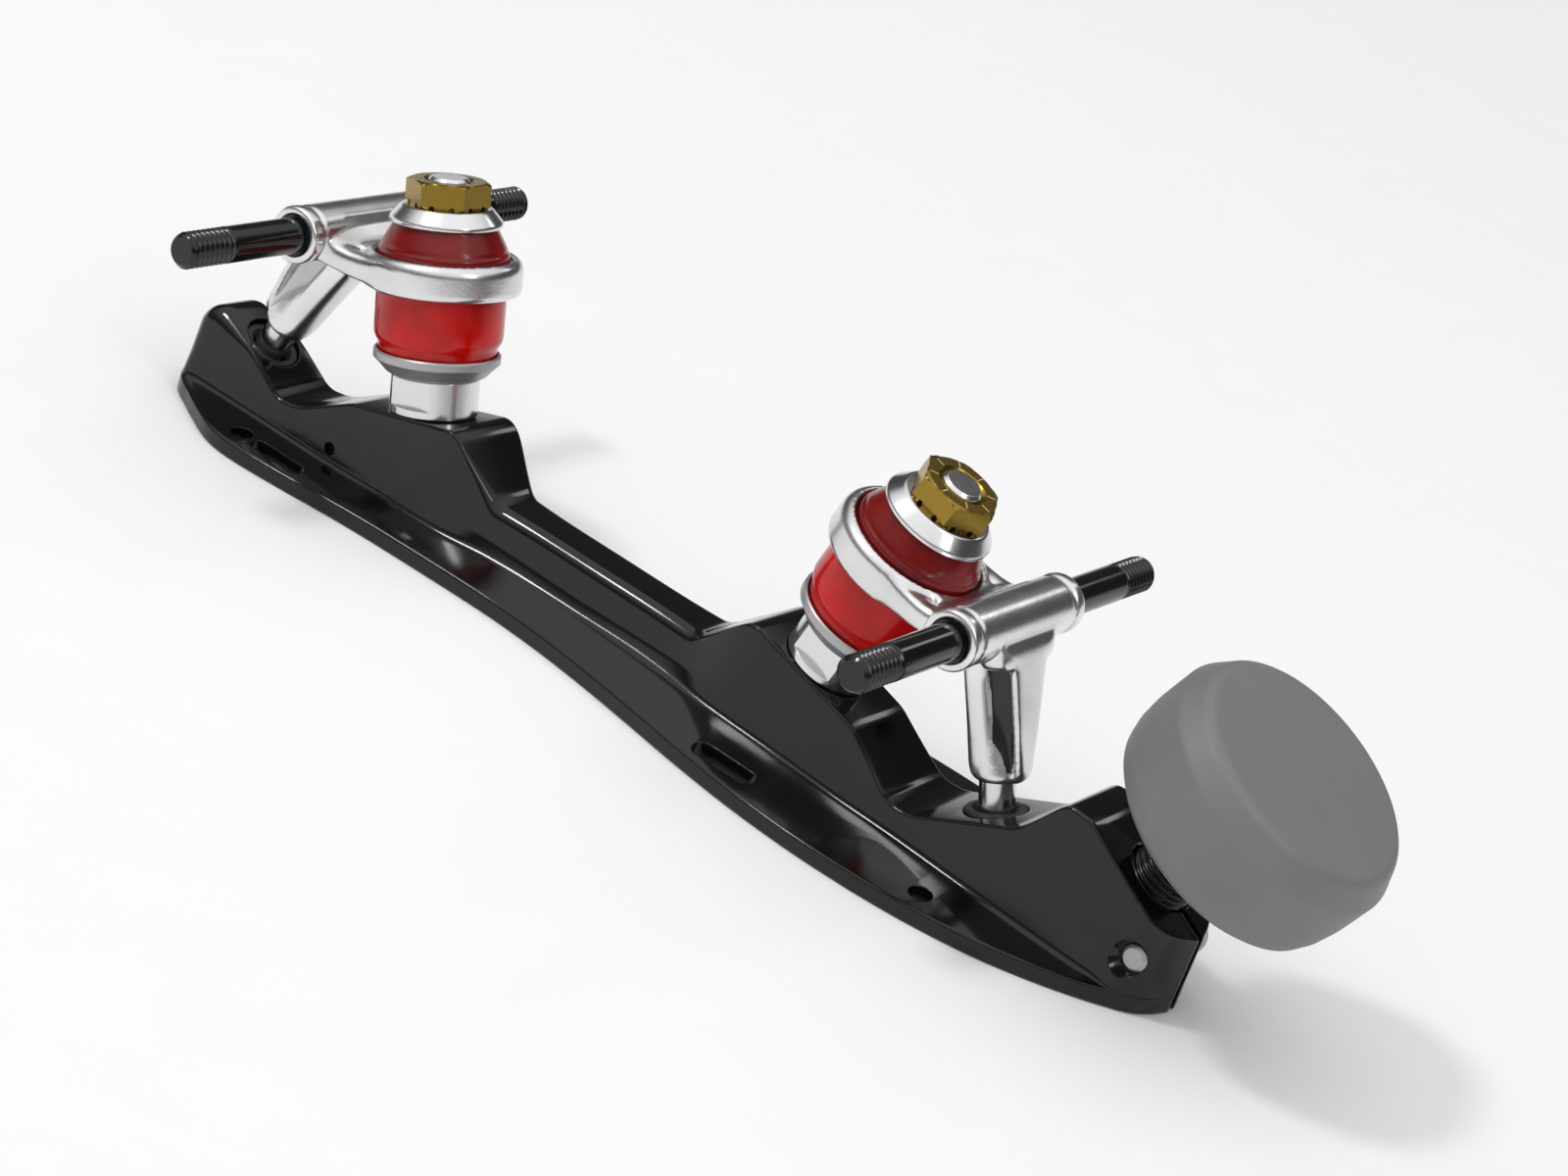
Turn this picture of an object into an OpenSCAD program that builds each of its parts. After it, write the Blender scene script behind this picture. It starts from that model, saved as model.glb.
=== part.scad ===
// Quad roller skate plate lying on its boot face: z = 0 is the face that meets the boot,
// the toe is toward +X, the trucks stand up along +Z, and the origin is midway between the axles.

/* [Plate] */
// Distance between the two axles
wheelbase = 158.75; // [140:1.25:190]
// Thickness of the flange at its edge
flange_t = 3; // [2.5:0.1:3.4]
// Margin of the plate's seat beside each kingpin's foot
seat_margin = 0.35; // [0.2:0.05:0.8]
// Height of the spine between the two trucks
spine_z = 15.2; // [14:0.2:16.4]
// Widest half width of the flange, beside the front truck
flange_half_w = 27.4; // [25:0.2:30]
// Wall left beside the hollow under the spine
spine_wall = 2.6; // [2:0.1:3.2]

/* [Trucks] */
// Lean of the kingpins away from upright
kingpin_tilt = 16; // [14:0.5:18]
// Height of the axles over the boot face
axle_z = 47.4; // [45:0.2:52]
// Axle diameter
axle_d = 7; // [6.8:0.1:8]
// Axle length over both ends
axle_len = 100; // [92:0.4:110]
// Length of the hanger tube that carries the axle
tube_len = 38.6; // [34:0.2:44]
// Outer diameter of the collars at the ends of that tube
collar_d = 11.3; // [11:0.1:13]
// Outer diameter of the hanger ring
ring_d = 30.8; // [30:0.2:33]

/* [Kingpins] */
// Kingpin diameter
kingpin_d = 8; // [7.6:0.1:8.4]
// Diameter of the kingpin's foot
foot_d = 17.3; // [16:0.1:18]
// Width over the two spanner flats of the foot
foot_flats = 14.6; // [13.5:0.1:15.4]
// Kingpin nut, width over its flats
nut_af = 14.3; // [13:0.1:15.5]
// Kingpin nut, height
nut_h = 5; // [4:0.1:6]

/* [Cushions] */
// Diameter of the lower cushion
lower_cushion_d = 25.2; // [24:0.1:25.4]
// Diameter of the upper cushion at the hanger ring
upper_cushion_d = 25.4; // [24:0.1:25.6]

/* [Toe stop] */
// Lean of the toe stop axis away from upright
toe_tilt = 27; // [24:0.5:29]
// Diameter of the pad at its widest
pad_d = 50; // [44:0.5:54]
// Height of the pad
pad_h = 23; // [20:0.5:26]
// Diameter of the threaded stem
stem_d = 12.7; // [11:0.1:12.8]
// Clear length of stem between plate and pad
stem_out = 12.8; // [9:0.2:16]

/* [Hidden] */
$fn = 64;
// clearances: parts that are held, parts that run, and faces that must not meet
held_gap = 0.03;
run_gap = 0.05;
free_gap = 0.3;

axle_x = wheelbase / 2;

// kingpin: its axis crosses this point, and heights along it are counted from there
kp_x = axle_x - 26.7;
kp_z = 32.6;
h_boss = -11.3;
h_foot_top = -3.4;
h_cup_floor = -1.9;
h_cup_rim = 1.1;
h_ring_low = 13.15;
h_ring_top = 20.2;
h_web_low = h_ring_low + 1.4;
h_web_top = h_ring_top - 1.5;
h_top_cup = 26.05;
h_top_floor = h_top_cup + 1.5;
h_nut = 29.4;
h_end = h_nut + nut_h + 0.5;
top_cup_r = upper_cushion_d / 2 - 1.7;
ring_recess_r = max(lower_cushion_d, upper_cushion_d) / 2 + 0.4;
ring_hole_r = kingpin_d / 2 + 3.2;

// pivot: the leg runs from the axle to the ball of the pivot pin, which sits low in the plate
ball_z = 12.8;
pivot_run = 12.8;
pivot_drop = axle_z - ball_z;
leg_tilt = atan(pivot_run / pivot_drop);
ball_dist = norm([pivot_run, pivot_drop]);
leg_len = ball_dist - 7.9;
leg_flat = 5.4;
leg_foot_r = 5.7;
rib_half_w = 4;
web_half_t = 2;
pin_in = 7;
cup_top = ball_dist - 2.6;
cup_depth = 7;
pin_r = 3.35;
cup_r = pin_r + 2.65;

// the axle's held middle is a little thicker than its two ends, and shows as a low shoulder
axle_mid_r = axle_d / 2 + 0.4;
axle_shoulder = tube_len / 2 + 0.3;

// outline of the boot face: x, half width
rear_end = -axle_x - 28.2;
nose_end = axle_x + 56.8;
wide = flange_half_w / 27.4;
outline = [
    [rear_end, 1.5],
    [rear_end + 0.5, 4.6],
    [rear_end + 2.1, 7.4],
    [rear_end + 4.6, 9.9],
    [rear_end + 9.2, 12.7],
    [-axle_x - 14.7, 15.3],
    [-axle_x - 7.2, 19.3],
    [-axle_x - 2, 20.7],
    [-axle_x + 4.4, 20.8],
    [-axle_x + 15.6, 19.7 * wide],
    [-axle_x + 27.5, 18.2 * wide],
    [-axle_x * 0.5, 17.3 * wide],
    [-axle_x * 0.18, 16.5],
    [-axle_x * 0.01, 17.2 * wide],
    [axle_x * 0.16, 19 * wide],
    [axle_x * 0.33, 21.5 * wide],
    [axle_x * 0.5, 24.2 * wide],
    [axle_x - 26, 26.3 * wide],
    [axle_x - 13, 27.3 * wide],
    [axle_x - 2, 27.3 * wide],
    [axle_x + 8.2, 26.6 * wide],
    [axle_x + 18, 25.1],
    [axle_x + 28, 22.6],
    [axle_x + 36, 19.4],
    [axle_x + 44, 15.3],
    [axle_x + 51.2, 10.6],
    [nose_end - 3, 8.2],
    [nose_end - 1.2, 5],
    [nose_end, 1.5]
];

// kingpin boss: where the kingpin meets its seat, and the seat's two ends
boss_half_w = foot_d / 2 + seat_margin;
boss_x = kp_x + h_boss * sin(kingpin_tilt);
boss_z = kp_z + h_boss * cos(kingpin_tilt);
function boss_top(x) = boss_z + (boss_x - abs(x)) * tan(kingpin_tilt);
boss_in = boss_x - 12.4;
boss_out = boss_x + 13.4;
spine_foot = boss_in - 11.9;

// body flanks: x, crease height, crease half width, upper line height, its half width, half width at z = 25
flank = [
    [rear_end, 3.9, 8.6, 8, 8.2, 7],
    [-axle_x, 4, 8.6, 8, 8.2, 7.4],
    [-axle_x + 15, 4.3, 8.9, 9, 8.5, 7.7],
    [-boss_x, 5.1, 9.3, 10, 9, boss_half_w - 0.3],
    [-boss_in + 2.2, 5.6, 9.6, 10.5, 9.25, boss_half_w],
    [-spine_foot + 2.3, 6, 8.5, 8.5, 7.3, 5],
    [0, 6.2, 7.9, 8, 6.9, 4.5],
    [spine_foot - 2.3, 6.1, 8.9, 8.5, 7.3, 5],
    [boss_in - 2.2, 5.8, 9.8, 10.5, 9.35, boss_half_w],
    [boss_x, 5.4, 10.2, 11, 9.6, boss_half_w - 0.1],
    [axle_x - 14, 4.6, 10.3, 9.3, 9.6, 8.1],
    [axle_x - 1, 4.6, 10.9, 7.2, 10.4, 7.7],
    [axle_x + 13, 4.6, 12, 8.5, 11.2, 8],
    [axle_x + 28, 4.3, 12.8, 11, 11.3, 9.2],
    [axle_x + 41, 3.7, 12.4, 10, 11.2, 9.8],
    [nose_end, 3.2, 11.2, 8, 11, 10.2]
];

// top line of the body along x: x, height, half length of the blend at that corner
clamp_x = axle_x + 33.6;
clamp_z = 27.7;
clamp_slope = toe_tilt + 1.5;
ridge = [
    [rear_end, 13, 0],
    [-axle_x - 26.8, 16.6, 1],
    [-axle_x - 22, 20.3, 2.8],
    [-axle_x - 10.5, 15.8, 2.2],
    [-axle_x - 1, 9.9, 2.2],
    [-axle_x + 5, 10.9, 2.2],
    [-boss_out, boss_top(boss_out), 1.2],
    [-boss_in, boss_top(boss_in), 2.2],
    [-spine_foot, spine_z, 1.9],
    [spine_foot, spine_z, 1.9],
    [boss_in, boss_top(boss_in), 2.2],
    [boss_out, boss_top(boss_out), 1.2],
    [axle_x - 4, 9.4, 2.2],
    [axle_x + 1, 9.7, 1.8],
    [axle_x + 21.4, 19.2, 1.6],
    [axle_x + 27.8, clamp_z + 0.2, 1.4],
    [clamp_x, clamp_z, 1.4],
    [nose_end, clamp_z - (nose_end - clamp_x) * tan(clamp_slope), 0]
];

// rounding of the top edges: broad on the rear end and on the spine, crisp on the seats
soft = [
    [rear_end, 3.4],
    [-axle_x - 20, 4],
    [-axle_x - 11, 1.3],
    [-axle_x - 4, 0.8],
    [-boss_in + 3, 0.7],
    [-spine_foot, 2.8],
    [spine_foot, 2.8],
    [boss_in - 3, 0.7],
    [nose_end, 0.7]
];

// toe stop: its axis meets the sloping face of the clamp block here
toe_x = axle_x + 45.7;
toe_z = clamp_z - (toe_x - clamp_x) * tan(clamp_slope);
stem_in = 18.6;
stem_grip = 14;
pad_base = stem_out;
pad_face = stem_out + pad_h;

// clamp screw: it crosses the nose just ahead of the stem, its head sunk in the far side
screw_r = 2.5;
screw_ahead = stem_d / 2 + screw_r + 0.35;
screw_down = 8;
screw_x = toe_x + screw_ahead * cos(toe_tilt) - screw_down * sin(toe_tilt);
screw_z = toe_z - screw_ahead * sin(toe_tilt) - screw_down * cos(toe_tilt);
screw_tip = 9.9;
screw_head = 3;
screw_seat = 7.4;
screw_head_r = 4.25;
slit_w = 1.6;

// hollows of the underside
spine_hollow = spine_foot + 0.7;
spine_hollow_w = 2 * (6.9 - spine_wall);
rib_t = 5;
valley_hollow = 15;
valley_hollow_w = 2 * (7.8 - spine_wall);

// mounting holes and slots of the flange: x from the axle midpoint, distance from the centreline
rear_slot_x = -axle_x + 9;
rear_slot_y = 16.1;
rear_hole_x = -axle_x - 1;
rear_hole_y = 15.7;
front_slot_x = axle_x - 32;
front_slot_y = 20.6;
front_hole_x = axle_x + 13.4;
front_hole_y = 20.6;
slot_len = 9.6;
rear_slot_w = 3.8;
front_slot_w = 4.4;
hole_d = 4.4;

black_metal = [0.05, 0.05, 0.055];
polished = [0.82, 0.82, 0.83];
steel = [0.7, 0.71, 0.72];
black_steel = [0.08, 0.08, 0.08];
gold = [0.72, 0.56, 0.18];
red_bright = [0.85, 0.08, 0.05];
red_dark = [0.5, 0.08, 0.09];
grey_rubber = [0.42, 0.44, 0.43];

// smooth curve through the rows of a table, column k against column 0
function row_at(t, x, i = 0) = (i >= len(t) - 2 || x < t[i + 1][0]) ? i : row_at(t, x, i + 1);
function steep(t, i, k) =
    let(a = max(i - 1, 0), b = min(i + 1, len(t) - 1))
    (t[b][k] - t[a][k]) / (t[b][0] - t[a][0]);
function curve(t, x, k = 1) =
    let(
        i = row_at(t, x),
        w = t[i + 1][0] - t[i][0],
        u = min(max((x - t[i][0]) / w, 0), 1),
        m = steep(t, i, k) * w,
        n = steep(t, i + 1, k) * w
    )
    (2 * u ^ 3 - 3 * u ^ 2 + 1) * t[i][k] + (u ^ 3 - 2 * u ^ 2 + u) * m
    + (3 * u ^ 2 - 2 * u ^ 3) * t[i + 1][k] + (u ^ 3 - u ^ 2) * n;

// straight runs between the rows of a table, with every corner blended over its own half length
function run_slope(t, i) = (t[i + 1][1] - t[i][1]) / (t[i + 1][0] - t[i][0]);
function blend(t, c, x) =
    let(x0 = t[c][0] - t[c][2], m = run_slope(t, c - 1), n = run_slope(t, c))
    t[c][1] - m * t[c][2] + m * (x - x0) + (n - m) / (4 * t[c][2]) * (x - x0) ^ 2;
function top_line(t, x) =
    let(
        i = row_at(t, x),
        c = (x - t[i][0] < t[i][2] && i > 0) ? i : (t[i + 1][0] - x < t[i + 1][2]) ? i + 1 : -1
    )
    c > 0 ? blend(t, c, x) : t[i][1] + run_slope(t, i) * (x - t[i][0]);

// ring of a turned part: the profile is radius against height
module turned(profile) {
    rotate_extrude()
        polygon(profile);
}

module slot(length, width, depth) {
    linear_extrude(depth, center = true) {
        square([length, width], center = true);
        for (s = [-1, 1])
            translate([s * length / 2, 0])
                circle(d = width);
    }
}

module truck(rear) {
    rotate([0, 0, rear ? 180 : 0])
        children();
}

module on_kingpin() {
    translate([kp_x, 0, kp_z])
        rotate([0, kingpin_tilt, 0])
            children();
}

// z runs from the axle up, the pivot ball is at z = -ball_dist
module on_leg() {
    translate([axle_x, 0, axle_z])
        rotate([0, -leg_tilt, 0])
            children();
}

// z = 0 is the sloping face of the clamp block, z up along the stem
module on_toe() {
    translate([toe_x, 0, toe_z])
        rotate([0, toe_tilt, 0])
            children();
}

function between(t, i) =
    let(a = t[i][0] + t[i][2], b = t[i + 1][0] - t[i + 1][2], n = ceil((b - a) / 5.5))
    [for (k = [1:1:n - 1]) a + (b - a) * k / n];
blend_steps = [-1, -0.5, 0, 0.5];
stations = [
    for (s = [0, 0.5, 1.2]) rear_end + s,
    for (i = [1:len(ridge) - 2]) each concat(
        [for (s = blend_steps) ridge[i][0] + s * ridge[i][2]],
        [ridge[i][0] + ridge[i][2]],
        i < len(ridge) - 2 ? between(ridge, i) : []
    ),
    for (s = [20.5, 17, 13, 9.5, 7.5, 5.5, 3.8, 2.4, 1.3, 0.5, 0]) nose_end - s
];

// the smaller of two widths, with the corner between them rounded
function under(a, b) = (a + b - norm([a - b, 0.6])) / 2;

// half section of the body at x, from the bottom edge over the flange and up the flank
edge_steps = [0, 30, 60, 90];
function half_section(x) =
    let(
        w = curve(outline, x),
        yc = min(curve(flank, x, 2), w - 0.3),
        zc = max(flange_t + 0.15, min(curve(flank, x, 1), flange_t + (w - yc) * 0.8)),
        zs = curve(flank, x, 3),
        ys = curve(flank, x, 4),
        yr = curve(flank, x, 5),
        zt = top_line(ridge, x),
        lean = x < 0 ? 0.1 : 0.004,
        wall = function(z) under(ys + (yr - ys) * (z - zs) / (25 - zs), w - 0.3 - lean * z),
        e = min(lookup(x, soft), (zt - zs) * 0.8, wall(zt) * 0.6)
    )
    [
        [w, 0],
        [w, flange_t - 0.5],
        [max(w - 0.5, yc + 0.1), flange_t],
        [yc, zc],
        [wall(zs), zs],
        for (a = edge_steps) [wall(zt - e) - e * (1 - cos(a)), zt - e * (1 - sin(a))]
    ];

function section(x) =
    let(h = half_section(x), n = len(h))
    [
        for (p = h) [x, -p[0], p[1]],
        for (i = [n - 1:-1:0]) [x, h[i][0], h[i][1]]
    ];

module body_loft() {
    n = len(half_section(0)) * 2;
    m = len(stations);
    points = [
        for (x = stations) each section(x),
        [stations[0], 0, 5],
        [stations[m - 1], 0, 5]
    ];
    sides = [
        for (j = [0:m - 2]) for (i = [0:n - 1])
            each [
                [j * n + i, (j + 1) * n + i, (j + 1) * n + (i + 1) % n],
                [j * n + i, (j + 1) * n + (i + 1) % n, j * n + (i + 1) % n]
            ]
    ];
    caps = [
        for (i = [0:n - 1])
            each [
                [m * n, i, (i + 1) % n],
                [m * n + 1, (m - 1) * n + (i + 1) % n, (m - 1) * n + i]
            ]
    ];
    polyhedron(points, concat(sides, caps), convexity = 6);
}

module plate() {
    color(black_metal)
        difference() {
            body_loft();
            // hollows under the spine, either side of a cross rib, and between kingpin and pivot
            for (s = [-1, 1]) {
                translate([s * (spine_hollow / 2 + rib_t / 2), 0, 0])
                    slot(spine_hollow - spine_hollow_w, spine_hollow_w, 2 * (spine_z - 4.4));
                translate([s * (axle_x - 12.5), 0, 0])
                    slot(valley_hollow, valley_hollow_w, 9.6);
            }
            // flange holes and slots
            for (s = [-1, 1]) {
                translate([rear_slot_x, s * rear_slot_y, 0])
                    slot(slot_len, rear_slot_w, 20);
                translate([rear_hole_x, s * rear_hole_y, -1])
                    cylinder(h = 10, d = hole_d);
                translate([front_slot_x, s * front_slot_y, 0])
                    slot(slot_len, front_slot_w, 20);
                translate([front_hole_x, s * front_hole_y, -1])
                    cylinder(h = 10, d = hole_d);
            }
            // small blind hole in the near flank beside the rear truck
            translate([-axle_x + 15, -12, 7])
                rotate([-90, 0, 0])
                    cylinder(h = 5.4, d = 2.6);
            for (rear = [false, true])
                truck(rear) {
                    on_kingpin()
                        translate([0, 0, -60])
                            cylinder(h = 60, r = kingpin_d / 2 + held_gap);
                    on_leg()
                        translate([0, 0, -cup_top - cup_depth])
                            cylinder(h = cup_depth + 12, r = cup_r + held_gap);
                }
            // toe stop: bore with a chamfered mouth, slit, and the clamp screw's hole with its sunk head
            on_toe() {
                translate([0, 0, -60])
                    cylinder(h = 90, r = stem_d / 2 + run_gap);
                translate([0, 0, -0.7])
                    cylinder(h = 3, r1 = stem_d / 2 + run_gap, r2 = stem_d / 2 + 3);
            }
            on_toe()
                translate([stem_d / 2 - 2, -slit_w / 2, -60])
                    cube([60, slit_w, 90]);
            translate([screw_x, 0, screw_z])
                rotate([90, 0, 0]) {
                    cylinder(h = 60, r = screw_r + run_gap, center = true);
                    translate([0, 0, screw_tip - 0.7])
                        cylinder(h = 6, r1 = screw_r + run_gap, r2 = screw_r + 4);
                    translate([0, 0, -screw_seat - 30])
                        cylinder(h = 30, r = screw_head_r + free_gap);
                }
        }
}

// Truck pieces are drawn for the front truck; the rear truck is the same pieces turned half round
module kingpin() {
    color(steel)
        on_kingpin() {
            difference() {
                turned([
                    [0, h_boss],
                    [foot_d / 2 - 0.4, h_boss],
                    [foot_d / 2, h_boss + 0.4],
                    [foot_d / 2, h_foot_top - 0.4],
                    [foot_d / 2 - 0.4, h_foot_top],
                    [0, h_foot_top]
                ]);
                for (s = [-1, 1])
                    translate([-10, s * (foot_flats / 2 + 5) - 5, h_boss + 1.8])
                        cube([20, 10, 5.6]);
            }
            turned([
                [0, -30],
                [kingpin_d / 2 - 0.6, -30],
                [kingpin_d / 2, -29.4],
                [kingpin_d / 2, h_end - 0.6],
                [kingpin_d / 2 - 0.6, h_end],
                [0, h_end]
            ]);
        }
}

module lower_cup() {
    r = lower_cushion_d / 2 - 0.25;
    color(steel)
        on_kingpin()
            turned([
                [kingpin_d / 2 + run_gap, h_foot_top],
                [r - 3.05, h_foot_top],
                [r - 2.45, h_foot_top + 0.3],
                [r - 0.85, h_cup_rim - 2.5],
                [r, h_cup_rim - 1.7],
                [r, h_cup_rim - 0.3],
                [r - 0.3, h_cup_rim],
                [r - 0.6, h_cup_rim],
                [r - 2.15, h_cup_floor],
                [kingpin_d / 2 + run_gap, h_cup_floor]
            ]);
}

module lower_cushion() {
    r = lower_cushion_d / 2;
    color(red_bright)
        on_kingpin()
            turned([
                [kingpin_d / 2 + free_gap, h_cup_floor],
                [r - 2.7, h_cup_floor],
                [r - 1.15, h_cup_rim],
                [r - 0.9, h_cup_rim + 1.5],
                [r - 0.4, h_cup_rim + 2.2],
                [r, h_cup_rim + 3],
                [r, h_web_low - 0.4],
                [r - 0.4, h_web_low],
                [kingpin_d / 2 + free_gap, h_web_low]
            ]);
}

module upper_cushion() {
    r = upper_cushion_d / 2;
    color(red_dark)
        on_kingpin()
            turned([
                [kingpin_d / 2 + free_gap, h_web_top],
                [r - 0.3, h_web_top],
                [r, h_web_top + 0.3],
                [r, h_web_top + 2.2],
                [r - 0.5, h_web_top + 2.7],
                [r - 0.7, h_web_top + 3.4],
                [top_cup_r - 0.8, h_top_cup],
                [top_cup_r - 1.4, h_top_floor - 0.3],
                [top_cup_r - 1.8, h_top_floor],
                [kingpin_d / 2 + free_gap, h_top_floor]
            ]);
}

module top_cup() {
    color(steel)
        on_kingpin()
            turned([
                [kingpin_d / 2 + run_gap, h_top_floor],
                [top_cup_r - 1.3, h_top_floor],
                [top_cup_r - 0.6, h_top_cup],
                [top_cup_r - 0.1, h_top_cup],
                [top_cup_r, h_top_cup + 0.3],
                [top_cup_r, h_top_cup + 1.2],
                [top_cup_r - 0.4, h_top_cup + 1.9],
                [top_cup_r - 1.7, h_top_cup + 2.6],
                [top_cup_r - 2.2, h_nut - 0.2],
                [top_cup_r - 2.5, h_nut],
                [kingpin_d / 2 + run_gap, h_nut]
            ]);
}

module kingpin_nut() {
    across = nut_af / cos(30);
    color(gold)
        on_kingpin()
            difference() {
                intersection() {
                    translate([0, 0, h_nut])
                        cylinder(h = nut_h, d = across, $fn = 6);
                    turned([
                        [0, h_nut],
                        [across / 2 - 0.7, h_nut],
                        [across / 2, h_nut + 0.4],
                        [across / 2, h_nut + nut_h - 0.5],
                        [across / 2 - 1.1, h_nut + nut_h],
                        [0, h_nut + nut_h]
                    ]);
                }
                turned([
                    [0, h_nut - 1],
                    [kingpin_d / 2 + run_gap, h_nut - 1],
                    [kingpin_d / 2 + run_gap, h_nut + nut_h - 0.9],
                    [kingpin_d / 2 + 0.9, h_nut + nut_h + 0.1],
                    [0, h_nut + nut_h + 0.1]
                ]);
                // half round notches under the flats
                for (a = [0:60:300])
                    rotate([0, 0, a + 30])
                        translate([nut_af / 2 - 1.6, 0, h_nut])
                            rotate([0, 90, 0])
                                cylinder(h = 4, r = 0.8);
            }
}

// web between ring and tube, waisted on both sides
module hanger_web() {
    difference() {
        hull() {
            on_kingpin()
                translate([0, 0, h_ring_low + 0.8])
                    cylinder(h = h_ring_top - h_ring_low - 3.8, r = ring_d / 2 - 1.4, $fn = 48);
            translate([axle_x, 0, axle_z])
                rotate([90, 0, 0])
                    cylinder(h = 20, r = collar_d / 2 - 0.9, center = true, $fn = 32);
        }
        for (s = [-1, 1])
            on_kingpin()
                translate([13.5, s * 20, 0])
                    cylinder(h = 40, r = 11);
    }
}

module hanger_tube() {
    half = tube_len / 2;
    r = collar_d / 2;
    translate([axle_x, 0, axle_z])
        rotate([90, 0, 0])
            turned([
                [0, -half],
                [r - 0.8, -half],
                [r - 0.2, -half + 0.25],
                [r, -half + 0.8],
                [r, -half + 2.6],
                [r - 0.45, -half + 3],
                [r - 0.45, -half + 3.7],
                [r - 0.15, -half + 4.1],
                [r - 0.15, half - 4.1],
                [r - 0.45, half - 3.7],
                [r - 0.45, half - 3],
                [r, half - 2.6],
                [r, half - 0.8],
                [r - 0.2, half - 0.25],
                [r - 0.8, half],
                [0, half]
            ]);
}

// leg: a broad flange on its outer side, a narrow rib toward the kingpin and a thin web between
// them, cut to a round taper that flares into the tube, with a solid foot round the pivot pin
module hanger_leg() {
    mid = leg_len / 2;
    on_leg()
        intersection() {
            turned([
                [0, -leg_len],
                [leg_foot_r - 1.2, -leg_len],
                [leg_foot_r, -leg_len + 0.9],
                [leg_foot_r + 0.7, -leg_len + 2.8],
                [leg_foot_r + 1.6, -mid],
                [leg_foot_r + 2.9, -9.5],
                [leg_foot_r + 3.6, -7.4],
                [leg_foot_r + 4.8, -5.8],
                [leg_foot_r + 4.8, 0],
                [0, 0]
            ]);
            union() {
                translate([1.2, -15, -leg_len])
                    cube([leg_flat - 1.2, 30, leg_len]);
                translate([-5, -web_half_t, -leg_len])
                    cube([8, 2 * web_half_t, leg_len]);
                rotate([90, 0, 0])
                    linear_extrude(2 * rib_half_w, center = true)
                        polygon([
                            [-5.1, -leg_len],
                            [-2.4, -leg_len],
                            [-2.4, 0],
                            [-7, 0],
                            [-7, -5],
                            [-5.9, -mid]
                        ]);
                translate([0, 0, -leg_len])
                    cylinder(h = pin_in + 1, r = pin_r + 1);
                translate([0, 0, -leg_len + pin_in + 1])
                    cylinder(h = 5, r1 = pin_r + 1, r2 = web_half_t);
            }
        }
}

module hanger() {
    color(polished)
        difference() {
            union() {
                on_kingpin()
                    turned([
                        [0, h_ring_low],
                        [ring_d / 2 - 1, h_ring_low],
                        [ring_d / 2 - 0.25, h_ring_low + 0.4],
                        [ring_d / 2, h_ring_low + 1.1],
                        [ring_d / 2, h_ring_top - 1.9],
                        [ring_d / 2 - 0.25, h_ring_top - 1.1],
                        [ring_d / 2 - 0.8, h_ring_top - 0.4],
                        [ring_d / 2 - 1.6, h_ring_top],
                        [0, h_ring_top]
                    ]);
                hanger_web();
                hanger_tube();
                hanger_leg();
            }
            on_kingpin() {
                translate([0, 0, h_web_top])
                    cylinder(h = 12, r = ring_recess_r);
                translate([0, 0, h_web_low - 12])
                    cylinder(h = 12, r = ring_recess_r);
                translate([0, 0, h_ring_low - 5])
                    cylinder(h = 20, r = ring_hole_r);
            }
            translate([axle_x, 0, axle_z])
                rotate([90, 0, 0])
                    cylinder(h = tube_len + 20, r = axle_mid_r + held_gap, center = true);
            on_leg()
                translate([0, 0, -leg_len - 1])
                    cylinder(h = pin_in + 1, r = pin_r + held_gap);
        }
}

module axle() {
    half = axle_len / 2;
    r = axle_d / 2;
    color(black_steel)
        translate([axle_x, 0, axle_z])
            rotate([90, 0, 0])
                turned([
                    [0, -half],
                    [r - 0.7, -half],
                    [r, -half + 0.7],
                    [r, -axle_shoulder],
                    [axle_mid_r, -axle_shoulder],
                    [axle_mid_r, axle_shoulder],
                    [r, axle_shoulder],
                    [r, half - 0.7],
                    [r - 0.7, half],
                    [0, half]
                ]);
}

module pivot_pin() {
    color(steel)
        on_leg() {
            translate([0, 0, -ball_dist])
                cylinder(h = ball_dist - leg_len + pin_in - 0.5, r = pin_r);
            translate([0, 0, -ball_dist])
                sphere(r = pin_r);
        }
}

module pivot_cup() {
    mouth = pin_r + free_gap;
    color(black_steel)
        on_leg()
            difference() {
                turned([
                    [0, -cup_top - cup_depth],
                    [cup_r, -cup_top - cup_depth],
                    [cup_r, -cup_top - 0.4],
                    [cup_r - 0.4, -cup_top],
                    [0, -cup_top]
                ]);
                translate([0, 0, -ball_dist])
                    cylinder(h = 20, r = mouth);
                translate([0, 0, -ball_dist])
                    sphere(r = mouth);
                translate([0, 0, -cup_top - 1.2])
                    cylinder(h = 1.3, r1 = mouth, r2 = mouth + 0.9);
            }
}

module toe_stop_pad() {
    r = pad_d / 2;
    color(grey_rubber)
        on_toe()
            turned([
                [0, pad_base + stem_grip],
                [stem_d / 2 + held_gap, pad_base + stem_grip],
                [stem_d / 2 + held_gap, pad_base],
                [r - 6, pad_base],
                [r - 3.4, pad_base + 1],
                [r - 1.2, pad_base + 3],
                [r - 0.3, pad_base + 6],
                [r, pad_base + 10],
                [r, pad_face - 5.2],
                [r - 0.5, pad_face - 4.4],
                [r - 2.2, pad_face - 0.9],
                [r - 3.2, pad_face],
                [0, pad_face]
            ]);
}

module toe_stop_stem() {
    color(steel)
        on_toe()
            turned([
                [0, -stem_in],
                [stem_d / 2 - 0.8, -stem_in],
                [stem_d / 2, -stem_in + 0.8],
                [stem_d / 2, pad_base + stem_grip],
                [0, pad_base + stem_grip]
            ]);
}

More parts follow.
